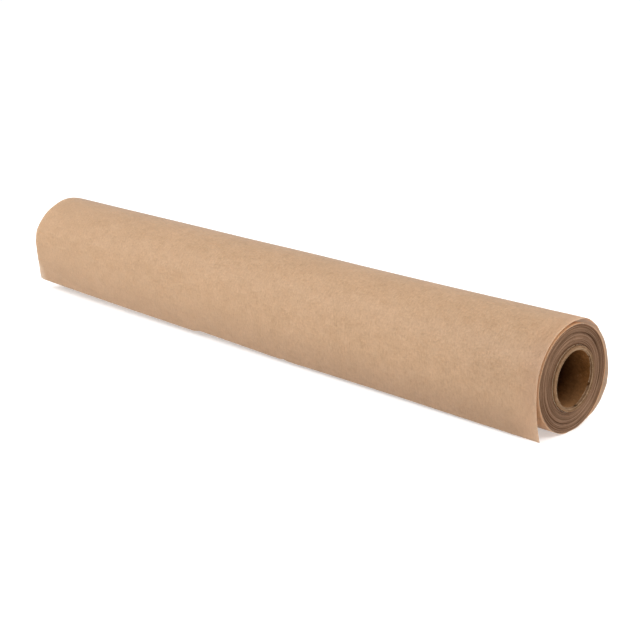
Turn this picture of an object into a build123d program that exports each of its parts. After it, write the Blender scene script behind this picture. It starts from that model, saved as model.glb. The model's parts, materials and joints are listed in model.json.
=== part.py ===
from build123d import *

import math
import os

# A roll of wrapping paper, lying on its side. The roll's axis runs along X, the free end of the sheet
# hangs down the front (-Y), and the origin is on the surface it rests on, under the middle of the axis.

# the sheet of paper
sheet_width = 500.0  # along the axis
paper = 0.12  # thickness of one sheet
layer_gap = 0.1  # glue or air between one curved layer and the next

# the cardboard core
core_proud = 1.65  # core standing out of the paper at each end
core_bore = 35.5  # inside diameter
inner_ply = 0.5  # thin smooth liner
body_ply = 0.9  # each of the two thicker strips over it
liner_setback = 1.8  # liner torn back inside the mouth at the +X end
glue_width = 2.5  # bead of glue that holds the start of the sheet
start_slit = 1.5  # gap between the start of the first turn and its end

# the wound paper and the slack turns over it
pack_radius = 33.1
close_front = 0.75  # gap from the wound paper to the close turn, at the front
close_back = 0.25  # the same, at the back
close_end = 60.0  # degrees below the axis where the close turn runs into the wound paper
slack_gap = 2.95  # gap from the wound paper to the slack turn, round the front and the top
sag_angle = 14.0  # degrees above the axis at the back where the slack turn begins to sag
sag_radius = 75.0  # the sagging stretch below that
fold_radius = 14.0  # the turn in under the roll at the bottom of the sag
rest_half = 4.0  # half the width of the flat where the roll rests

# the free end
tail_radius = 104.0  # curl of the hanging end
edge_near = 0.7  # height of the cut edge at the +X end
edge_far = 6.7  # height of the cut edge at the -X end
seam_gap = 0.1  # clearance at the line where the free end bends

# values worked out from those above
axis_height = pack_radius + paper + layer_gap
core_length = sheet_width + 2 * core_proud
liner_outer = core_bore / 2 + inner_ply
middle_inner = liner_outer + layer_gap
middle_outer = middle_inner + body_ply
outer_inner = middle_outer + layer_gap
core_radius = outer_inner + body_ply
glue_inner = core_radius + layer_gap
glue_outer = glue_inner + layer_gap
first_inner = glue_outer + layer_gap
first_outer = first_inner + paper
pack_inner = first_outer + layer_gap
slack_radius = pack_radius + slack_gap + paper


def section(x):
    """Plane across the roll at x, with its centre on the axis, local x along +Y and local y up."""
    return Plane(origin=(x, 0, axis_height), x_dir=(0, 1, 0), z_dir=(1, 0, 0))


sheet_section = section(-sheet_width / 2)
core_section = section(-core_length / 2)

# --- cardboard core: three plies glued one on another ---

with BuildPart() as core_inner_ply:
    with BuildSketch(core_section):
        Circle(liner_outer)
        Circle(core_bore / 2, mode=Mode.SUBTRACT)
    extrude(amount=core_length - liner_setback)

with BuildPart() as core_middle_ply:
    with BuildSketch(core_section):
        Circle(middle_outer)
        Circle(middle_inner, mode=Mode.SUBTRACT)
    extrude(amount=core_length)

with BuildPart() as core_outer_ply:
    with BuildSketch(core_section):
        Circle(core_radius)
        Circle(outer_inner, mode=Mode.SUBTRACT)
    extrude(amount=core_length)

# --- start of the sheet: a line of glue on the core, and the first turn stuck to it ---

glue_angle = math.degrees(glue_width / glue_inner)
slit_angle = math.degrees(start_slit / first_inner)

with BuildPart() as start_glue:
    with BuildSketch(sheet_section):
        with BuildLine():
            CenterArc((0, 0), glue_outer, 90, glue_angle)
            offset(amount=glue_outer - glue_inner, side=Side.LEFT)
        make_face()
    extrude(amount=sheet_width)

with BuildPart() as first_turn:
    with BuildSketch(sheet_section):
        with BuildLine():
            CenterArc((0, 0), first_outer, 90, 360 - slit_angle)
            offset(amount=paper, side=Side.LEFT)
        make_face()
    extrude(amount=sheet_width)

# --- the tightly wound paper ---

with BuildPart() as wound_paper:
    with BuildSketch(sheet_section):
        Circle(pack_radius)
        Circle(pack_inner, mode=Mode.SUBTRACT)
    extrude(amount=sheet_width)

# --- close turn: from the flat foot up the front, over the top and down the back ---

close_radius = pack_radius + close_front + paper
close_shift = (close_front - close_back) / 2
close_foot = (close_radius**2 - axis_height**2 - rest_half**2) / (2 * (close_radius - axis_height))
close_foot_angle = math.degrees(math.atan2(close_foot - axis_height, rest_half))

with BuildPart() as close_turn:
    with BuildSketch(sheet_section):
        with BuildLine():
            foot_centre = (-rest_half, close_foot - axis_height)
            CenterArc(foot_centre, close_foot, 270, -90 - close_foot_angle)
            CenterArc((0, 0), close_radius, 180 - close_foot_angle, close_foot_angle)
            CenterArc((-close_shift, 0), close_radius - close_shift, 180, -180)
            CenterArc((0, 0), close_radius - 2 * close_shift, 0, -close_end)
            offset(amount=paper, side=Side.RIGHT)
        make_face()
    extrude(amount=sheet_width)

# --- slack turn: from the bend at the front over the top, down the back and flat under the roll ---

sag_centre = Vector(slack_radius - sag_radius, 0).rotate(Axis.Z, sag_angle)
fold_centre = Vector(sag_centre.X + sag_radius - fold_radius, sag_centre.Y)
across = fold_centre.X - rest_half
down = fold_centre.Y + axis_height - fold_radius
fold_angle = 90 - 2 * math.degrees(math.atan2(down, across))
under_radius = fold_radius + (across**2 + down**2) / (2 * down)

with BuildPart() as loose_turn:
    with BuildSketch(sheet_section):
        with BuildLine():
            CenterArc((0, 0), slack_radius, 180, sag_angle - 180)
            CenterArc(sag_centre, sag_radius, sag_angle, -sag_angle)
            CenterArc(fold_centre, fold_radius, 0, -fold_angle)
            under_centre = (rest_half, under_radius - axis_height)
            CenterArc(under_centre, under_radius, -fold_angle, fold_angle - 90)
            Line((rest_half, -axis_height), (-rest_half, -axis_height))
            offset(amount=paper, side=Side.RIGHT)
        make_face()
    extrude(amount=sheet_width)

# --- free end: hangs from the bend at the front, curls in a little, and is cut slightly askew ---

tail_start = math.degrees(seam_gap / tail_radius)
tail_sweep = math.degrees(math.asin(axis_height / tail_radius)) - tail_start
edge_plane = Plane(
    origin=(0, 0, (edge_near + edge_far) / 2),
    x_dir=(0, 1, 0),
    z_dir=(edge_far - edge_near, 0, sheet_width),
)

with BuildPart() as free_end:
    with BuildSketch(sheet_section):
        with BuildLine():
            CenterArc((tail_radius - slack_radius, 0), tail_radius, 180 + tail_start, tail_sweep)
            offset(amount=paper, side=Side.LEFT)
        make_face()
    extrude(amount=sheet_width)
    split(bisect_by=edge_plane, keep=Keep.TOP)

# --- export ---

pieces = {
    "core_inner_ply": core_inner_ply,
    "core_middle_ply": core_middle_ply,
    "core_outer_ply": core_outer_ply,
    "start_glue": start_glue,
    "first_turn": first_turn,
    "wound_paper": wound_paper,
    "close_turn": close_turn,
    "loose_turn": loose_turn,
    "free_end": free_end,
}

os.makedirs("parts", exist_ok=True)
for name, piece in pieces.items():
    piece.part.label = name
    export_step(piece.part, f"parts/{name}.step")
    box = piece.part.bounding_box()
    print(f"{name}: volume {piece.part.volume:.1f} mm3, {box.min} to {box.max}")
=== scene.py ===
import json
import math
import random

import bpy
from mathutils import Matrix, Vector, noise


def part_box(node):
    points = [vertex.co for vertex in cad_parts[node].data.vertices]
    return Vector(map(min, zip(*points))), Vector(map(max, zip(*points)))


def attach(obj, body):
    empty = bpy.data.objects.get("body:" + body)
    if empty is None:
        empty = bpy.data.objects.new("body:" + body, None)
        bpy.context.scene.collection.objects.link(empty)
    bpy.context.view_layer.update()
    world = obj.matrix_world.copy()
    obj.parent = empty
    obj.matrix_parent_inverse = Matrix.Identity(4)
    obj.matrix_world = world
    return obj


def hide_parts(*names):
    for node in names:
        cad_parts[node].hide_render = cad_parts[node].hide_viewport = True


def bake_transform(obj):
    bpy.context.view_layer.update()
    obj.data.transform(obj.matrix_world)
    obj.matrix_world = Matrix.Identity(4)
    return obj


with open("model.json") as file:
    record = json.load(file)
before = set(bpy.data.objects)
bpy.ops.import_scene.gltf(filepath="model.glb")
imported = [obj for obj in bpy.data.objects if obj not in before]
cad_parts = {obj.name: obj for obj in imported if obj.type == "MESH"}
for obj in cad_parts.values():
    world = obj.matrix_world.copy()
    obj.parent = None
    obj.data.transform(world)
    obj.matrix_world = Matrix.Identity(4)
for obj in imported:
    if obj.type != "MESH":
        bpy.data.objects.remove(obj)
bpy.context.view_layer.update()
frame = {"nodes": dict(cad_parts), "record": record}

# places from the frame
bore = next(m for m in frame["record"]["mounts"] if m["name"] == "core_bore")
axisHeight = bore["pos_m"][2]
boreRadius = bore["dims"]["r_mm"] / 1000
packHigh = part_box("wound_paper")[1]
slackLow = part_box("loose_turn")[0]
closeLow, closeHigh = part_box("close_turn")
tailLow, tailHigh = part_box("free_end")
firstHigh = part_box("first_turn")[1]
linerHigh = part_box("core_inner_ply")[1]
middleLow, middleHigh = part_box("core_middle_ply")
outerLow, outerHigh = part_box("core_outer_ply")
halfWidth = packHigh.x
slackRadius = -slackLow.y
axisPoint = (0, axisHeight)
samePlace = 1e-6  # points nearer than this are one
closeBy = 1e-5  # metres, counts as at the same place when picking points
smoothAngle = 35  # degrees, sharper edges stay crisp
usualNoise = (0.3, 0.7)  # nearly all of a noise lies between these


# helpers

def pickNothing():
    if bpy.context.object and bpy.context.object.mode != "OBJECT":
        bpy.ops.object.mode_set(mode="OBJECT")
    bpy.ops.object.select_all(action="DESELECT")


def pickVerts(obj, test):
    # picks points by their place and leaves edit mode open
    bpy.ops.object.mode_set(mode="OBJECT")
    for item in list(obj.data.edges) + list(obj.data.polygons):
        item.select = False
    for vert in obj.data.vertices:
        vert.select = test(vert.co)
    bpy.ops.object.mode_set(mode="EDIT")
    bpy.ops.mesh.select_mode(type="VERT")


def newLine(name, points, halfLength):
    # a row of points along X, left over from a one-row grid
    pickNothing()
    bpy.ops.mesh.primitive_grid_add(x_subdivisions=points - 1, y_subdivisions=1, size=2)
    obj = bpy.context.object
    obj.name = name
    obj.data.name = name
    pickVerts(obj, lambda co: co.y > 0)
    bpy.ops.mesh.delete(type="VERT")
    bpy.ops.mesh.select_all(action="SELECT")
    bpy.ops.transform.translate(value=(0, 1, 0))
    bpy.ops.transform.resize(value=(halfLength, 1, 1))
    return obj


def spinArc(centre, degrees, step):
    # carries the picked row round a centre (y, z); with no window spin turns the other way
    steps = max(2, round(abs(degrees) / step))
    middle = (0, centre[0], centre[1])
    bpy.ops.mesh.spin(steps=steps, angle=-math.radians(degrees), center=middle, axis=(1, 0, 0))


def applyModifier(obj, kind, **values):
    bpy.ops.object.mode_set(mode="OBJECT")
    modifier = obj.modifiers.new(kind.title(), kind)
    for key, value in values.items():
        setattr(modifier, key, value)
    bpy.ops.object.modifier_apply(modifier=modifier.name)


def tidyMesh(obj):
    bpy.ops.object.mode_set(mode="EDIT")
    bpy.ops.mesh.select_all(action="SELECT")
    bpy.ops.mesh.remove_doubles(threshold=samePlace)
    bpy.ops.mesh.normals_make_consistent(inside=False)
    bpy.ops.object.mode_set(mode="OBJECT")


def polar(centre, radius, degrees):
    angle = math.radians(degrees)
    return centre[0] + radius * math.cos(angle), centre[1] + radius * math.sin(angle)


def angleOf(co):
    # degrees round the axis from the back, +Y, counted from just behind the foot
    degrees = math.degrees(math.atan2(co.z - axisHeight, co.y))
    return degrees + 360 if degrees < -100 else degrees


def wave(x, around, size, seed):
    # smooth unevenness, from -1 to 1
    return noise.noise(Vector((x / size, around / size, seed)))


def wrapUv(obj, radius):
    # u runs along the roll and v round it, both in metres
    layer = obj.data.uv_layers.active or obj.data.uv_layers.new(name="wrap")
    places = [(v.co.x, math.radians(angleOf(v.co)) * radius) for v in obj.data.vertices]
    for loop in obj.data.loops:
        layer.data[loop.index].uv = places[loop.vertex_index]


def finishPiece(obj, body, slotName, materials, *nodes):
    bpy.ops.object.mode_set(mode="OBJECT")
    picked = [face.material_index for face in obj.data.polygons]
    obj.data.materials.clear()
    for material in materials:
        obj.data.materials.append(material)
    for face, index in zip(obj.data.polygons, picked):
        face.material_index = index
    pickNothing()
    obj.select_set(True)
    bpy.context.view_layer.objects.active = obj
    bpy.ops.object.shade_smooth_by_angle(angle=math.radians(smoothAngle))
    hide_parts(*nodes)
    if body:
        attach(obj, body)
    print("made", obj.name, len(obj.data.polygons), "faces")


# materials

def newMaterial(name):
    material = bpy.data.materials.new(name)
    material.use_nodes = True
    tree = material.node_tree
    return material, tree, tree.nodes["Principled BSDF"]


def addNode(tree, kind, inputs=None, **values):
    node = tree.nodes.new(kind)
    for key, value in values.items():
        setattr(node, key, value)
    for key, value in (inputs or {}).items():
        if isinstance(value, bpy.types.NodeSocket):
            tree.links.new(value, node.inputs[key])
        else:
            node.inputs[key].default_value = value
    return node


def addMath(tree, operation, first, second=0.0, clamp=False):
    return addNode(tree, "ShaderNodeMath", {0: first, 1: second}, operation=operation,
                   use_clamp=clamp).outputs[0]


def addNoise(tree, place, scale, detail=3.0, roughness=0.6):
    inputs = {"Vector": place, "Scale": scale, "Detail": detail, "Roughness": roughness}
    return addNode(tree, "ShaderNodeTexNoise", inputs).outputs["Fac"]


def addMix(tree, share, first, second, blend="MIX"):
    node = addNode(tree, "ShaderNodeMix", data_type="RGBA", blend_type=blend)
    for index, value in ((0, share), (6, first), (7, second)):
        if isinstance(value, bpy.types.NodeSocket):
            tree.links.new(value, node.inputs[index])
        else:
            node.inputs[index].default_value = value
    return node.outputs[2]


def addRange(tree, value, low, high, start=0.0, end=1.0):
    inputs = {"Value": value, "From Min": low, "From Max": high, "To Min": start, "To Max": end}
    return addNode(tree, "ShaderNodeMapRange", inputs).outputs[0]


def addTimes(tree, first, second):
    return addMath(tree, "MULTIPLY", first, second)


def addTone(tree, parts):
    # noises added up by their shares
    tone = None
    for fac, share in parts:
        part = addTimes(tree, fac, share)
        tone = part if tone is None else addMath(tree, "ADD", tone, part)
    return tone


def addPatches(tree, place, patches):
    # only the peaks of a noise, from where they begin to where they are full
    size, detail, roughness, begin, full = patches
    return addRange(tree, addNoise(tree, place, size, detail, roughness), begin, full)


def addBump(tree, height, strength, distance):
    inputs = {"Height": height, "Strength": strength, "Distance": distance}
    return addNode(tree, "ShaderNodeBump", inputs).outputs[0]


def setSurface(tree, shader, colour, normal, roughness, specular=0.5):
    tree.links.new(colour, shader.inputs["Base Color"])
    tree.links.new(normal, shader.inputs["Normal"])
    if isinstance(roughness, bpy.types.NodeSocket):
        tree.links.new(roughness, shader.inputs["Roughness"])
    else:
        shader.inputs["Roughness"].default_value = roughness
    shader.inputs["Specular IOR Level"].default_value = specular


kraft = {
    "dark": (0.435, 0.280, 0.155, 1),
    "light": (0.696, 0.495, 0.322, 1),
    "speck": (0.30, 0.160, 0.075, 1),
    "scuff": (0.92, 0.740, 0.540, 1),
    "glow": (0.97, 0.90, 0.81, 1),
    # painted pale light, as if through the far corner where it stands clear
    "paintedCornerLight": (0.76, 0.68, 0.58, 1),
    # these multiply the paper's own colour
    # painted shade on the free end and the near end
    "paintedShade": (0.78, 0.76, 0.78, 1),
    "inside": (1.02, 0.80, 0.52, 1),
    # painted light on the inside face: warm near the mouth at the top, paler at the back
    "insideTopPaintedLight": (1.20, 0.93, 0.66, 1),
    "insideBackPaintedLight": (0.95, 0.97, 1.06, 1),
    "gap": (1.38, 1.18, 0.95, 1),
    "through": 0.47,  # share of the light that passes
    "glowShare": (0.15, 0.35),  # how much of its own colour that light takes, from dark clouds to light
    "roughness": (0.49, 0.64),
    "sheen": 0.30,
    "sheenRoughness": 0.35,
    "specular": 0.4,
    # noises: size in cycles a metre, detail and roughness
    "fibres": (1100, 3, 0.6),
    "grain": (620, 4, 0.7),
    "clouds": (120, 4, 0.55),
    "broad": (26, 3, 0.5),
    "shares": (0.44, 0.28, 0.22, 0.06),  # of grain, fibres, clouds and broad
    "fibreLength": 0.2,  # less makes the fibres longer round the roll
    "toneRange": (0.36, 0.64),
    # patches: size, detail, roughness, where they begin and where they are full
    "specks": (1500, 2, 0.5, 0.71, 0.78),
    "speckShare": 0.55,
    "scuffs": (210, 5, 0.75, 0.70, 0.80),
    "scuffShare": 0.28,
    "wornRim": (330, 4, 0.7, 0.54, 0.70),
    "rim": (0.0011, 0.0003),  # metres in from the end where the worn rim begins and is full
    "mouth": (0.022, 0.006),  # the same for the painted warm light inside the near end
    # reach, range and share of the painted light at the far corner
    "cornerReach": 0.009,
    "cornerRange": (0.12, 0.45),
    "cornerShare": 0.35,
    # x from, x to, shade from, shade to, of the painted shade
    "tailShade": (-0.1, halfWidth, 0.8, 1.25),
    "endShade": (0.15, 0.238, 0.0, 0.35),
    "rimShade": (0.236, halfWidth, 0.0, 0.65),
    # degrees round the axis
    "bendLine": 186,
    "cutLine": 225,
    "topShade": (112, 140, 0.3, 1.0),
    "insideTurns": (34, 58),  # from its painted paler light at the back to its painted warm light at the top
    "grainInBump": 0.5,
    "bump": (0.12, 0.0001),  # strength, and height in metres
}


def kraftMaterial(name, source, inside=False, gap=False):
    # source is UV for a sheet and Object for the CAD pieces; the inside face is warmer, with painted light
    # that is warmest near the mouth at the top and paler at the back
    v = kraft
    material, tree, shader = newMaterial(name)
    place = tree.nodes.new("ShaderNodeTexCoord").outputs[source]
    stretch = addNode(tree, "ShaderNodeMapping", {"Vector": place, "Scale": (1, v["fibreLength"], 1)})
    fibres = addNoise(tree, stretch.outputs[0], *v["fibres"])
    grain = addNoise(tree, place, *v["grain"])
    clouds = addNoise(tree, place, *v["clouds"])
    broad = addNoise(tree, place, *v["broad"])
    tone = addTone(tree, zip((grain, fibres, clouds, broad), v["shares"]))
    colour = addMix(tree, addRange(tree, tone, *v["toneRange"]), v["dark"], v["light"])
    specks = addPatches(tree, place, v["specks"])
    colour = addMix(tree, addTimes(tree, specks, v["speckShare"]), colour, v["speck"])
    spots = addNode(tree, "ShaderNodeSeparateXYZ", {0: place})
    along, around = spots.outputs[0], spots.outputs[1]
    if source == "UV":
        colour = addPaintedShadeAndLight(tree, colour, along, around)
    if inside or gap:
        begin, full = v["mouth"]
        mouth = addRange(tree, along, halfWidth - begin, halfWidth - full)
    if inside:
        # painted light on the inside face, warm near the mouth at the top and paler at the back
        back, top = (math.radians(angle) * slackRadius for angle in v["insideTurns"])
        shade = addMix(tree, mouth, v["inside"], v["insideTopPaintedLight"])
        shade = addMix(tree, addRange(tree, around, back, top), v["insideBackPaintedLight"], shade)
        colour = addMix(tree, 1.0, colour, shade, "MULTIPLY")
    if gap:
        # light that has come through the slack turn is warm on the turn below it
        colour = addMix(tree, mouth, colour, addMix(tree, 1.0, colour, v["gap"], "MULTIPLY"))
    begin, full = v["rim"]
    rim = addRange(tree, addMath(tree, "ABSOLUTE", along), halfWidth - begin, halfWidth - full)
    worn = addTimes(tree, rim, addPatches(tree, place, v["wornRim"]))
    scuffs = addMath(tree, "MAXIMUM", addPatches(tree, place, v["scuffs"]), worn)
    colour = addMix(tree, addTimes(tree, scuffs, v["scuffShare"]), colour, v["scuff"])
    height = addMath(tree, "ADD", addTimes(tree, grain, v["grainInBump"]), fibres)
    rough = addRange(tree, tone, *usualNoise, *v["roughness"])
    setSurface(tree, shader, colour, addBump(tree, height, *v["bump"]), rough, v["specular"])
    shader.inputs["Sheen Weight"].default_value = v["sheen"]
    shader.inputs["Sheen Roughness"].default_value = v["sheenRoughness"]
    # a thin sheet lets light through, paler than its own colour
    glow = addMix(tree, addRange(tree, clouds, *usualNoise, *v["glowShare"]), v["glow"], colour)
    through = addNode(tree, "ShaderNodeBsdfTranslucent", {"Color": glow})
    both = addNode(tree, "ShaderNodeMixShader",
                   {0: v["through"], 1: shader.outputs[0], 2: through.outputs[0]})
    tree.links.new(both.outputs[0], tree.nodes["Material Output"].inputs["Surface"])
    return material


def addPaintedShadeAndLight(tree, colour, along, around):
    # painted shade low on the free end and round the near end, and painted pale light at the far corner
    v = kraft
    cutPlace = math.radians(v["cutLine"]) * slackRadius
    bendLine = math.radians(v["bendLine"]) * slackRadius
    low = addRange(tree, around, bendLine, cutPlace)
    # painted shade low on the free end, more towards the near end
    tail = addTimes(tree, low, addRange(tree, along, *v["tailShade"]))
    # painted shade along the near end, most at the front
    near = addRange(tree, along, *v["endShade"])
    near = addMath(tree, "ADD", near, addRange(tree, along, *v["rimShade"]))
    top, front, least, most = v["topShade"]
    topLine = math.radians(top) * slackRadius
    frontLine = math.radians(front) * slackRadius
    near = addTimes(tree, near, addRange(tree, around, topLine, frontLine, least, most))
    paintedShade = addMath(tree, "MAXIMUM", tail, near)
    colour = addMix(tree, paintedShade, colour, addMix(tree, 1.0, colour, v["paintedShade"], "MULTIPLY"))
    # painted pale light at the far corner, low on the free end
    corner = addRange(tree, along, v["cornerReach"] - halfWidth, -halfWidth)
    paintedCornerLight = addRange(tree, addTimes(tree, corner, low), *v["cornerRange"])
    return addMix(tree, addTimes(tree, paintedCornerLight, v["cornerShare"]), colour, v["paintedCornerLight"])


cut = {
    "dark": (0.56, 0.36, 0.21, 1),
    "light": (0.74, 0.54, 0.37, 1),
    "pulp": (1400, 4, 0.7),
    "toneRange": (0.35, 0.65),
    "bump": (0.4, 0.0001),
    "roughness": 0.85,
}


def cutMaterial():
    # the cut edge of one sheet shows paler pulp
    v = cut
    material, tree, shader = newMaterial("kraftCut")
    place = tree.nodes.new("ShaderNodeTexCoord").outputs["Object"]
    pulp = addNoise(tree, place, *v["pulp"])
    colour = addMix(tree, addRange(tree, pulp, *v["toneRange"]), v["dark"], v["light"])
    setSurface(tree, shader, colour, addBump(tree, pulp, *v["bump"]), v["roughness"])
    return material


edges = {
    "dark": (0.116, 0.061, 0.032, 1),
    "light": (0.312, 0.186, 0.115, 1),
    "dust": (0.38, 0.27, 0.19, 1),
    "ringsAndContactShade": (  # radius, width and tone of the rings that stand out, and of one painted shade ring at 0.0208 where the core meets the wound paper
        (0.0280, 0.00034, 0.52), (0.0311, 0.00032, 0.72), (0.0322, 0.00022, 0.80), (0.0254, 0.00022, 0.84),
        (0.0235, 0.00020, 0.86), (0.0265, 0.00030, 1.20), (0.0243, 0.00026, 1.16), (0.0295, 0.00030, 1.20),
        # 0.0208 is painted shade where the core stands proud of the wound paper
        (0.0302, 0.00014, 0.86), (0.0317, 0.00016, 1.15), (0.0208, 0.00080, 0.60),
    ),
    "upward": 0.0003,  # the rings sit a little high of the axis
    "arcStretch": 0.012,  # less makes the patches longer round the axis
    # noises: size in cycles a metre, detail and roughness
    "fine": (3000, 2, 0.7),
    "bands": (1500, 2, 0.6),
    "fuzz": (1600, 4, 0.7),
    "drift": (60, 2, 0.5),
    "shares": (0.44, 0.32, 0.14, 0.10),
    "toneRange": (0.40, 0.60),
    "dustPatches": (420, 5, 0.7, 0.60, 0.80),
    "dustShare": 0.4,
    "wander": 0.0006,  # how far a ring strays from its radius
    "bump": (0.5, 0.0002),
    "roughness": 0.9,
    "specular": 0.15,
}


def edgeMaterial():
    # cut edges of the wound sheet, ring on ring round the axis
    v = edges
    material, tree, shader = newMaterial("woundEdges")
    place = tree.nodes.new("ShaderNodeTexCoord").outputs["Object"]
    down = (0, 0, -axisHeight - v["upward"])
    centred = addNode(tree, "ShaderNodeMapping", {"Vector": place, "Location": down}).outputs[0]
    parts = addNode(tree, "ShaderNodeSeparateXYZ", {0: centred})
    flat = addNode(tree, "ShaderNodeCombineXYZ", {1: parts.outputs[1], 2: parts.outputs[2]})
    length = addNode(tree, "ShaderNodeVectorMath", {0: flat.outputs[0]}, operation="LENGTH")
    radius = length.outputs["Value"]
    # long thin patches that follow the rings
    sideways = addTimes(tree, parts.outputs[1], v["arcStretch"])
    upwards = addTimes(tree, parts.outputs[2], v["arcStretch"])
    arc = addNode(tree, "ShaderNodeCombineXYZ", {0: radius, 1: sideways, 2: upwards}).outputs[0]
    drift = addNoise(tree, centred, *v["drift"])
    fine = addNoise(tree, arc, *v["fine"])
    bands = addNoise(tree, arc, *v["bands"])
    fuzz = addNoise(tree, centred, *v["fuzz"])
    tone = addTone(tree, zip((fine, bands, fuzz, drift), v["shares"]))
    colour = addMix(tree, addRange(tree, tone, *v["toneRange"]), v["dark"], v["light"])
    dust = addPatches(tree, centred, v["dustPatches"])
    colour = addMix(tree, addTimes(tree, dust, v["dustShare"]), colour, v["dust"])
    wander = addTimes(tree, addMath(tree, "SUBTRACT", drift, 0.5), v["wander"])
    strayed = addMath(tree, "ADD", radius, wander)
    for where, width, shade in v["ringsAndContactShade"]:
        # a soft ring, darker and warmer or paler than the turns beside it; at 0.0208 it is painted shade
        near = addMath(tree, "DIVIDE", addMath(tree, "SUBTRACT", strayed, where), width)
        near = addMath(tree, "EXPONENT", addTimes(tree, addTimes(tree, near, near), -1))
        tint = (shade, shade**1.3, shade**1.6, 1)
        colour = addMix(tree, near, colour, addMix(tree, 1.0, colour, tint, "MULTIPLY"))
    setSurface(tree, shader, colour, addBump(tree, tone, *v["bump"]), v["roughness"], v["specular"])
    return material


board = {
    "pulp": (420, 5, 0.65),  # size, detail and roughness of each noise
    "clouds": (60, 3, 0.5),
    "shares": (0.7, 0.3),
    "toneRange": (0.36, 0.64),
    "flecks": (1300, 2, 0.5, 0.66, 0.74),
    "fleckShare": 0.6,
    # metres in from the paper's end where the painted shade in the bore begins and is darkest
    "boreShadeFrom": (0.003, 0.022),
    # the same for the painted light on the lip low down
    "lipReach": (0.014, 0.001),
    "lipBelow": 0.004,  # metres below the axis
    "lipShare": 0.22,
    "bump": (0.35, 0.0002),
    "roughness": (0.72, 0.9),
    "specular": 0.08,
}


def boardMaterial(name, dark, light, fleck, deep=None):
    # grey-brown tube board: clouds of pulp with pale flecks
    v = board
    material, tree, shader = newMaterial(name)
    place = tree.nodes.new("ShaderNodeTexCoord").outputs["Object"]
    pulp = addNoise(tree, place, *v["pulp"])
    clouds = addNoise(tree, place, *v["clouds"])
    tone = addTone(tree, zip((pulp, clouds), v["shares"]))
    colour = addMix(tree, addRange(tree, tone, *v["toneRange"]), dark, light)
    flecks = addPatches(tree, place, v["flecks"])
    colour = addMix(tree, addTimes(tree, flecks, v["fleckShare"]), colour, fleck)
    if deep:
        # painted shade darkens the bore deep inside, and painted light makes it paler low down near its
        # mouths
        parts = addNode(tree, "ShaderNodeSeparateXYZ", {0: place})
        along = addMath(tree, "ABSOLUTE", parts.outputs[0])
        # painted shade deep in the bore
        begin, full = v["boreShadeFrom"]
        inside = addRange(tree, along, halfWidth - begin, halfWidth - full)
        colour = addMix(tree, inside, colour, addMix(tree, 1.0, colour, deep, "MULTIPLY"))
        # painted light on the bottom of the bore near its mouths
        begin, full = v["lipReach"]
        lip = addRange(tree, along, halfWidth - begin, halfWidth - full)
        low = addRange(tree, parts.outputs[2], axisHeight - v["lipBelow"], axisHeight - boreRadius)
        lip = addTimes(tree, addTimes(tree, lip, low), v["lipShare"])
        colour = addMix(tree, lip, colour, fleck)
    rough = addRange(tree, tone, *usualNoise, *v["roughness"])
    setSurface(tree, shader, colour, addBump(tree, pulp, *v["bump"]), rough, v["specular"])
    return material


glue = {
    "dark": (0.26, 0.15, 0.07, 1),
    "light": (0.42, 0.27, 0.14, 1),
    "drips": (300, 3, 0.6),
    "toneRange": (0.4, 0.6),
    "bump": (0.4, 0.0003),
    "roughness": (0.3, 0.5),
}


def glueMaterial():
    v = glue
    material, tree, shader = newMaterial("dryGlue")
    place = tree.nodes.new("ShaderNodeTexCoord").outputs["Object"]
    drips = addNoise(tree, place, *v["drips"])
    colour = addMix(tree, addRange(tree, drips, *v["toneRange"]), v["dark"], v["light"])
    rough = addRange(tree, drips, *usualNoise, *v["roughness"])
    setSurface(tree, shader, colour, addBump(tree, drips, *v["bump"]), rough)
    return material


sheetKraft = kraftMaterial("kraftSheet", "UV")
insideKraft = kraftMaterial("kraftInside", "UV", inside=True)
gapKraft = kraftMaterial("kraftGap", "UV", gap=True)
plainKraft = kraftMaterial("kraftHidden", "Object")
woundEdges = edgeMaterial()
cutKraft = cutMaterial()
# dark, light and fleck of each board, and for the bore the painted shade it fades to deep inside
linerBoard = boardMaterial(
    "linerBoard",
    (0.12, 0.046, 0.010, 1), (0.23, 0.098, 0.030, 1), (0.42, 0.25, 0.13, 1), (0.18, 0.10, 0.03, 1),
)
tornBoard = boardMaterial(
    "tornBoard", (0.17, 0.100, 0.052, 1), (0.33, 0.21, 0.125, 1), (0.45, 0.32, 0.21, 1),
)
tubeBoard = boardMaterial(
    "tubeBoard", (0.157, 0.086, 0.041, 1), (0.271, 0.158, 0.088, 1), (0.40, 0.28, 0.18, 1),
)
print("materials ready")


# the slack outer turn, with the free end hanging from it

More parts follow.
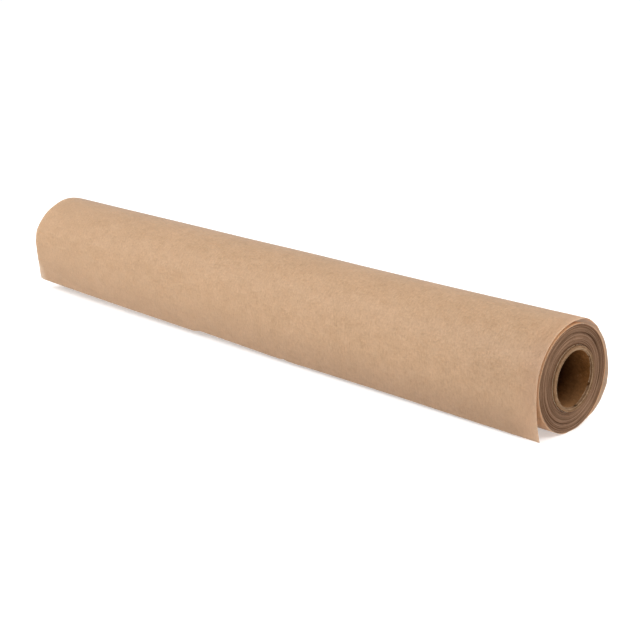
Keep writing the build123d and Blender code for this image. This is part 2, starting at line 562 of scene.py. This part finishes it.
slackTurn = {
    "radius": slackRadius,
    "sagAngle": 14,  # degrees above the axis where the back begins to sag
    "sagRadius": 0.075,
    "foldRadius": 0.014,
    "restHalf": 0.004,
    "tailRadius": 0.104,
    "thickness": 0.00016,
    "points": 251,
    # degrees between the rows of each arc
    "tailStep": 0.9,
    "step": 2.6,
    "sagStep": 1.6,
    "foldStep": 5,
    "underStep": 2.4,
    # x and height of the scissor cut: a rounded corner, a step where it began again and a nick
    "edgeHeights": (
        (-0.250, 0.0076), (-0.248, 0.0068), (-0.245, 0.0066), (-0.173, 0.0058), (-0.111, 0.0044),
        (-0.060, 0.0034), (-0.053, 0.0049), (0.031, 0.0026), (0.034, 0.0033), (0.038, 0.0025),
        (0.140, 0.0020), (0.198, 0.0014), (0.250, 0.0007),
    ),
    "cutRagged": 0.00007,
    "raggedSeed": 11,
    # slow waves all along, and a quicker flutter within reach of the ends
    "waveHeight": 0.00025,
    "waveSize": 0.085,
    "waveSeed": 3,
    "waveInward": 0.3,  # share of its height that a wave is pulled in by
    "flutter": 0.00022,
    "flutterSize": 0.022,
    "flutterSeed": 8,
    "flutterInward": 0.2,
    "flutterReach": 0.05,
    "still": -70,  # degrees, nothing waves below it
    "stillFade": 50,  # degrees from there until all of it waves
    "lying": -62,  # below this angle it lies on the wound paper
    "clearance": 0.0001,
    "furthestOut": 0.0016,  # past its even round
    # how far the slack sheet stands in or out of its even round, by degrees, in millimetres
    "nearEnd": (
        (-92, 0), (-84, -0.8), (-72, -1.9), (-60, -2.1), (-48, -1.3), (-36, -1.1), (-26, -1.5), (-16, -0.8),
        (-6, 0), (24, -0.6), (42, -0.9), (54, 0), (72, 1.1), (90, 0.1), (108, -0.1), (130, 0), (260, 0),
    ),
    "farEnd": (
        (-92, 0), (72, 0), (96, 0.3), (117, -0.1), (136, 0.3), (156, 0.8),
        (168, 0), (180, -1.1), (192, -1.5), (204, -1.8), (215, -1.3), (225, -0.8), (260, -0.8),
    ),
    "endReach": 0.13,  # how far along the roll nearEnd and farEnd fade out
}


def cutHeight(x):
    # straight from point to point
    points = slackTurn["edgeHeights"]
    for (x0, h0), (x1, h1) in zip(points, points[1:]):
        if x <= x1:
            return h0 + (h1 - h0) * max(0.0, (x - x0) / (x1 - x0))
    return points[-1][1]


def readAt(points, value):
    # eased from point to point
    for (a0, h0), (a1, h1) in zip(points, points[1:]):
        if value <= a1:
            share = max(0.0, (value - a0) / (a1 - a0))
            return h0 + (h1 - h0) * share * share * (3 - 2 * share)
    return points[-1][1]


def closeReach(degrees):
    # how far the close turn stands from the axis: less at the back than in front
    return closeHigh.y + (-closeLow.y - closeHigh.y) * min(1.0, max(0.0, degrees / 180))


def endShape(x, degrees):
    # how far the ends stand out, in metres
    v = slackTurn
    near = max(0.0, 1 - (halfWidth - x) / v["endReach"]) ** 2
    far = max(0.0, 1 - (halfWidth + x) / v["endReach"]) ** 2
    return (near * readAt(v["nearEnd"], degrees) + far * readAt(v["farEnd"], degrees)) / 1000


def cutFreeEnd(obj, centre, fullAngle):
    # stretches each column of the free end to its own place on the cut
    v = slackTurn
    ragged = random.Random(v["raggedSeed"])
    jag = {}
    for vert in obj.data.vertices:
        co = vert.co
        if co.y < tailHigh.y + closeBy and co.z < axisHeight:
            share = math.asin((axisHeight - co.z) / v["tailRadius"]) / fullAngle
            column = round(co.x / closeBy)
            if column not in jag:
                jag[column] = ragged.uniform(-1, 1) * v["cutRagged"]
            full = math.asin((axisHeight - cutHeight(co.x) + jag[column]) / v["tailRadius"])
            angle = math.pi + share * full
            co.y = centre[0] + v["tailRadius"] * math.cos(angle)
            co.z = centre[1] + v["tailRadius"] * math.sin(angle)


def slackPlace(co):
    # where a point of the even round goes, once it waves and takes the shape of the ends
    v = slackTurn
    degrees = angleOf(co)
    around = math.radians(degrees) * v["radius"]
    moving = min(1.0, max(0.0, (degrees - v["still"]) / v["stillFade"]))
    end = max(0.0, 1 - (halfWidth - abs(co.x)) / v["flutterReach"])
    slow = wave(co.x, around, v["waveSize"], v["waveSeed"]) - v["waveInward"]
    quick = wave(co.x, around, v["flutterSize"], v["flutterSeed"]) - v["flutterInward"]
    height = v["waveHeight"] * slow + v["flutter"] * end * quick
    flat = Vector((0, co.y, co.z - axisHeight))
    radius = flat.length + height * moving + endShape(co.x, degrees)
    # it can't sink into the turns it lies on
    below = closeReach(degrees) if degrees > v["lying"] else packHigh.y
    radius = max(radius, v["thickness"] + below + v["clearance"])
    place = flat.normalized() * min(radius, max(flat.length, v["radius"] + v["furthestOut"]))
    return Vector((co.x, place.y, max(place.z + axisHeight, 0.0)))


def thicken(obj, thickness, outside, inside):
    # thickens a sheet inward, with a material for its outside, one for its cut edge and one for its inside
    for material in (outside, cutKraft, inside):
        obj.data.materials.append(material)
    applyModifier(obj, "SOLIDIFY", thickness=thickness, offset=-1, material_offset=2, material_offset_rim=1)
    return outside, cutKraft, inside


def makeOuterTurn():
    v = slackTurn
    tailCentre = (v["tailRadius"] - v["radius"], axisHeight)
    tailAngle = math.degrees(math.asin((axisHeight - tailLow.z) / v["tailRadius"]))
    obj = newLine("outerTurn", v["points"], halfWidth)
    bpy.ops.transform.translate(value=(0, *polar(tailCentre, v["tailRadius"], 180 + tailAngle)))
    # from the cut up to the bend, over the top and down the sagging back, then round the fold and under
    spinArc(tailCentre, -tailAngle, v["tailStep"])
    spinArc(axisPoint, v["sagAngle"] - 180, v["step"])
    sagCentre = polar(axisPoint, v["radius"] - v["sagRadius"], v["sagAngle"])
    spinArc(sagCentre, -v["sagAngle"], v["sagStep"])
    foldCentre = (sagCentre[0] + v["sagRadius"] - v["foldRadius"], sagCentre[1])
    across = foldCentre[0] - v["restHalf"]
    down = foldCentre[1] - v["foldRadius"]
    foldAngle = 90 - 2 * math.degrees(math.atan2(down, across))
    underRadius = v["foldRadius"] + (across**2 + down**2) / (2 * down)
    spinArc(foldCentre, -foldAngle, v["foldStep"])
    spinArc((v["restHalf"], underRadius), foldAngle - 90, v["underStep"])
    bpy.ops.mesh.extrude_region_move(TRANSFORM_OT_translate={"value": (0, -2 * v["restHalf"], 0)})
    tidyMesh(obj)
    cutFreeEnd(obj, tailCentre, math.radians(tailAngle))
    for vert in obj.data.vertices:
        vert.co = slackPlace(vert.co)
    wrapUv(obj, v["radius"])
    materials = thicken(obj, v["thickness"], sheetKraft, insideKraft)
    finishPiece(obj, None, "kraft_paper", materials, "loose_turn", "free_end")
    return obj


outerTurn = makeOuterTurn()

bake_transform(outerTurn)


# the turn close over the wound paper

closeTurn = {
    "frontRadius": -closeLow.y,
    "backRadius": closeHigh.y,
    "restHalf": 0.004,
    "endAngle": -60,
    "thickness": 0.00013,
    "points": 120,
    "pastPack": 0.0002,  # how far its ends stand past the wound paper's
    # degrees between the rows of each arc
    "footStep": 4,
    "frontStep": 2,
    "backStep": 3,
    "waveHeight": 0.00010,
    "waveSize": 0.05,
    "waveSeed": 21,
    "wavesBelow": 255,  # degrees, the foot doesn't wave
}


def makeCloseTurn():
    v = closeTurn
    front = v["frontRadius"]
    shift = (front - v["backRadius"]) / 2
    foot = (front**2 - axisHeight**2 - v["restHalf"] ** 2) / (2 * (front - axisHeight))
    footAngle = math.degrees(math.atan2(foot - axisHeight, v["restHalf"]))
    obj = newLine("closeTurn", v["points"], halfWidth + v["pastPack"])
    bpy.ops.transform.translate(value=(0, -v["restHalf"], 0))
    # from the foot up the front, over the top and down the back
    spinArc((-v["restHalf"], foot), -90 - footAngle, v["footStep"])
    spinArc(axisPoint, footAngle, v["frontStep"])
    spinArc((-shift, axisHeight), -180, v["backStep"])
    spinArc(axisPoint, v["endAngle"], v["backStep"])
    tidyMesh(obj)
    for vert in obj.data.vertices:
        co = vert.co
        degrees = angleOf(co)
        if degrees < v["wavesBelow"]:
            around = math.radians(degrees) * front
            out = Vector((0, co.y, co.z - axisHeight)).normalized()
            vert.co = co + out * v["waveHeight"] * wave(co.x, around, v["waveSize"], v["waveSeed"])
    wrapUv(obj, front)
    materials = thicken(obj, v["thickness"], gapKraft, gapKraft)
    finishPiece(obj, "roll", "kraft_paper", materials, "close_turn")


makeCloseTurn()


# the tightly wound paper, with every turn's cut edge on both ends

woundPaper = {
    "inner": firstHigh.y + 0.0001,
    "outer": packHigh.y,
    "pitch": 0.000122,
    "groove": 0.00008,
    "setBack": 0.0003,  # how far its ends lie inside the sheet's width
    "steps": 132,
    # unevenness from turn to turn: height, changes a metre, and two numbers that set the pattern
    "turnNoise": ((0.00012, 2600, 7.0, 0), (0.00010, 700, 3.0, 5)),
    "sway": 0.00012,
    "swaySize": 0.02,
    "swaySeed": 30,
    "farShift": 0.0004,  # the slips at the far end lie this much further out
    "slips": (  # radius, width and depth of the places where the turns slipped along the roll
        (0.0280, 0.00035, 0.0008), (0.0310, 0.0003, 0.00035), (0.0254, 0.0003, 0.0003),
        (0.0322, 0.00025, 0.0003), (0.0222, 0.0004, 0.0003),
    ),
}


def slipAt(radius, side):
    # how deep the end of a turn lies; side is 1 at the near end and -1 at the far end
    v = woundPaper
    depth = 0.0
    for height, changes, spread, seed in v["turnNoise"]:
        depth += height * noise.noise(Vector((radius * changes, side * spread, seed)))
    shift = v["farShift"] if side < 0 else 0.0
    for place, width, deep in v["slips"]:
        depth += deep * math.exp(-(((radius - place - shift) / width) ** 2))
    return depth


def makeWoundPaper():
    v = woundPaper
    turns = round((v["outer"] - v["inner"]) / v["pitch"])
    count = 2 * turns + 1
    obj = newLine("woundPaper", 2 * count, 1)
    bpy.ops.object.mode_set(mode="OBJECT")
    ordered = sorted(obj.data.vertices, key=lambda vert: vert.co.x)
    for index, vert in enumerate(ordered):
        side = -1 if index < count else 1
        step = index if index < count else 2 * count - 1 - index
        radius = v["inner"] + (v["outer"] - v["inner"]) * step / (count - 1)
        groove = v["groove"] * (step % 2)
        vert.co = (side * (halfWidth - v["setBack"] - groove), radius, axisHeight)
    # the profile runs from the -X end's middle out and back in at the +X end
    pickVerts(obj, lambda co: True)
    spinArc(axisPoint, 360, 360 / v["steps"])
    tidyMesh(obj)
    for vert in obj.data.vertices:
        co = vert.co
        radius = math.hypot(co.y, co.z - axisHeight)
        side = 1 if co.x > 0 else -1
        sway = v["sway"] * wave(co.y, co.z, v["swaySize"], v["swaySeed"] + side)
        co.x -= side * (slipAt(radius, side) + sway)
    wrapUv(obj, v["outer"])
    # its round outside is plain sheet
    for face in obj.data.polygons:
        if abs(face.normal.x) < 0.1:
            face.material_index = 1
    finishPiece(obj, "roll", "kraft_paper", (woundEdges, sheetKraft), "wound_paper")


makeWoundPaper()


# the cardboard core: each ply is a strip wound in a helix, with its butt seam left open

corePlies = (  # pitch is the strip's advance in one turn, start and tornAngle are in degrees
    {"name": "coreLiner", "node": "core_inner_ply", "inner": boreRadius, "outer": linerHigh.y,
     "low": outerLow.x + 0.0002, "high": outerHigh.x - 0.0002, "pitch": 0.082, "start": 190,
     "rough": 0.0002, "worn": (0, 0.0001), "torn": 0.0018, "tornAngle": -35, "material": linerBoard},
    {"name": "coreMiddle", "node": "core_middle_ply", "inner": linerHigh.y + 0.0001, "outer": middleHigh.y,
     "low": middleLow.x + 0.0003, "high": middleHigh.x - 0.0002, "pitch": 0.084, "start": 160,
     "rough": 0.00015, "worn": (0, 0.0002), "torn": 0.0004, "tornAngle": -60, "material": tubeBoard},
    {"name": "coreOuter", "node": "core_outer_ply", "inner": middleHigh.y + 0.0001, "outer": outerHigh.y,
     "low": outerLow.x, "high": outerHigh.x, "pitch": 0.086, "start": 280, "rough": 0.00012,
     "worn": (0.0004, 0), "torn": 0, "tornAngle": 0, "material": tubeBoard},
)
plyWork = {
    "seam": 0.0005,  # left open between the turns of a strip
    "steps": 144,  # rows in one turn
    "points": 7,  # across a strip
    # unevenness of the ends: the larger, the more lumps round them
    "lumps": 6,
    "fringe": 30,
    "fringeShare": 0.6,
    "tearPower": 1.3,  # more keeps the tear nearer its own angle
    "tearRagged": 0.3,
    "tornReach": 1.6,  # times the tear's depth, where faces count as torn
    "tornMargin": 0.0004,
}


def endWear(v, co):
    # how far a point at the end of a ply lies back from the clean cut
    w = plyWork
    angle = math.atan2(co.z - axisHeight, co.y)
    around = Vector((math.cos(angle), math.sin(angle), 0))
    level = Vector((0, 0, v["start"]))
    fringe = noise.noise(around * w["fringe"] + level)
    depth = 0.5 + noise.noise(around * w["lumps"] + level) + w["fringeShare"] * fringe
    outside = math.hypot(co.y, co.z - axisHeight) > (v["inner"] + v["outer"]) / 2
    tearShare = 0.5 + 0.5 * math.cos(angle - math.radians(v["tornAngle"]))
    tear = v["torn"] * tearShare ** w["tearPower"] * (1 + w["tearRagged"] * fringe)
    return v["rough"] * max(0.0, depth) + v["worn"][0 if outside else 1] + tear


def makePly(v):
    w = plyWork
    width = v["pitch"] - w["seam"]
    turns = math.ceil((v["high"] - v["low"]) / v["pitch"]) + 2
    obj = newLine(v["name"], w["points"], width / 2)
    bpy.ops.transform.translate(value=(v["low"] - v["pitch"] + width / 2, v["outer"], 0))
    applyModifier(obj, "SCREW", axis="X", angle=math.tau, screw_offset=v["pitch"], iterations=turns,
                  steps=w["steps"], render_steps=w["steps"], use_merge_vertices=False)
    tidyMesh(obj)
    outward = sum(f.normal.dot(Vector((0, f.center.y, f.center.z))) for f in obj.data.polygons) > 0
    if not outward:
        obj.data.flip_normals()
    applyModifier(obj, "SOLIDIFY", thickness=v["outer"] - v["inner"], offset=-1)
    ends = ((v["low"], -1), (v["high"], 1))
    bpy.ops.object.mode_set(mode="EDIT")
    for end, way in ends:
        bpy.ops.mesh.select_all(action="SELECT")
        bpy.ops.mesh.bisect(plane_co=(end, 0, 0), plane_no=(way, 0, 0), use_fill=True, clear_outer=True)
    bpy.ops.mesh.select_all(action="SELECT")
    bpy.ops.transform.rotate(value=math.radians(v["start"]), orient_axis="X", center_override=(0, 0, 0))
    bpy.ops.transform.translate(value=(0, 0, axisHeight))
    bpy.ops.object.mode_set(mode="OBJECT")
    for vert in obj.data.vertices:
        for end, way in ends:
            if abs(vert.co.x - end) < closeBy:
                vert.co.x -= way * endWear(v, vert.co)
    if v["torn"]:
        # the torn ends show paler board
        tornFrom = v["high"] - w["tornReach"] * v["torn"] - w["tornMargin"]
        for face in obj.data.polygons:
            torn = abs(face.center.x) > tornFrom and abs(face.normal.x) > 0.5
            face.material_index = 1 if torn else 0
    finishPiece(obj, "roll", "core_board", (v["material"], tornBoard), v["node"])


for ply in corePlies:
    makePly(ply)

# the hidden pieces keep their CAD shape
for nodeName, material in (("first_turn", plainKraft), ("start_glue", glueMaterial())):
    nodeMesh = frame["nodes"][nodeName].data
    nodeMesh.materials.clear()
    nodeMesh.materials.append(material)


# floor, lights and camera

studio = {
    "floor": (0.74, 0.74, 0.74, 1),
    "floorGlow": 0.40,  # the floor is a faint light table
    "world": 0.80,
    "lights": (  # name, place, size, watts
        ("keyLight", (-0.75, -1.20, 1.15), 1.1, 23),
        ("backLight", (0.9, 1.3, 1.0), 1.2, 8),
        ("endLight", (1.3, 0.1, 1.3), 0.9, 10),
    ),
    "lightsAim": (0, 0, 0.03),
    "floorSize": 14,
    "floorHeight": -0.0002,
    "floorRoughness": 0.9,
    "floorSpecular": 0.1,
    "viewAzimuth": 44.82,
    "viewElevation": 16.46,
    "viewDistance": 1.049,
    "aim": (0.02232, 0.01552, 0.01899),
    "lens": 83.27,
    "sensor": 36,
    "clipStart": 0.01,
}


def makeStudio():
    v = studio
    pickNothing()
    bpy.ops.mesh.primitive_plane_add(size=v["floorSize"], location=(0, 0, v["floorHeight"]))
    floor = bpy.context.object
    floor.name = "floor"
    material, _, shader = newMaterial("paleFloor")
    shader.inputs["Base Color"].default_value = v["floor"]
    shader.inputs["Roughness"].default_value = v["floorRoughness"]
    shader.inputs["Specular IOR Level"].default_value = v["floorSpecular"]
    shader.inputs["Emission Color"].default_value = (1, 1, 1, 1)
    shader.inputs["Emission Strength"].default_value = v["floorGlow"]
    floor.data.materials.append(material)
    world = bpy.data.worlds.new("studio")
    world.use_nodes = True
    world.node_tree.nodes["Background"].inputs["Color"].default_value = (1, 1, 1, 1)
    world.node_tree.nodes["Background"].inputs["Strength"].default_value = v["world"]
    bpy.context.scene.world = world
    for name, place, size, watts in v["lights"]:
        light = bpy.data.lights.new(name, "AREA")
        light.shape = "DISK"
        light.size = size
        light.energy = watts
        lamp = bpy.data.objects.new(name, light)
        bpy.context.scene.collection.objects.link(lamp)
        lamp.location = place
        aim = Vector(v["lightsAim"]) - Vector(place)
        lamp.rotation_euler = aim.to_track_quat("-Z", "Y").to_euler()
    azimuth = math.radians(v["viewAzimuth"])
    elevation = math.radians(v["viewElevation"])
    back = Vector((
        math.sin(azimuth) * math.cos(elevation),
        -math.cos(azimuth) * math.cos(elevation),
        math.sin(elevation),
    ))
    camera = bpy.data.objects.new("camera", bpy.data.cameras.new("camera"))
    bpy.context.scene.collection.objects.link(camera)
    camera.location = Vector(v["aim"]) + back * v["viewDistance"]
    camera.rotation_euler = back.to_track_quat("Z", "Y").to_euler()
    camera.data.lens = v["lens"]
    camera.data.sensor_width = v["sensor"]
    camera.data.clip_start = v["clipStart"]
    bpy.context.scene.camera = camera
    bpy.context.scene.view_settings.view_transform = "Standard"
    print("studio ready")


makeStudio()
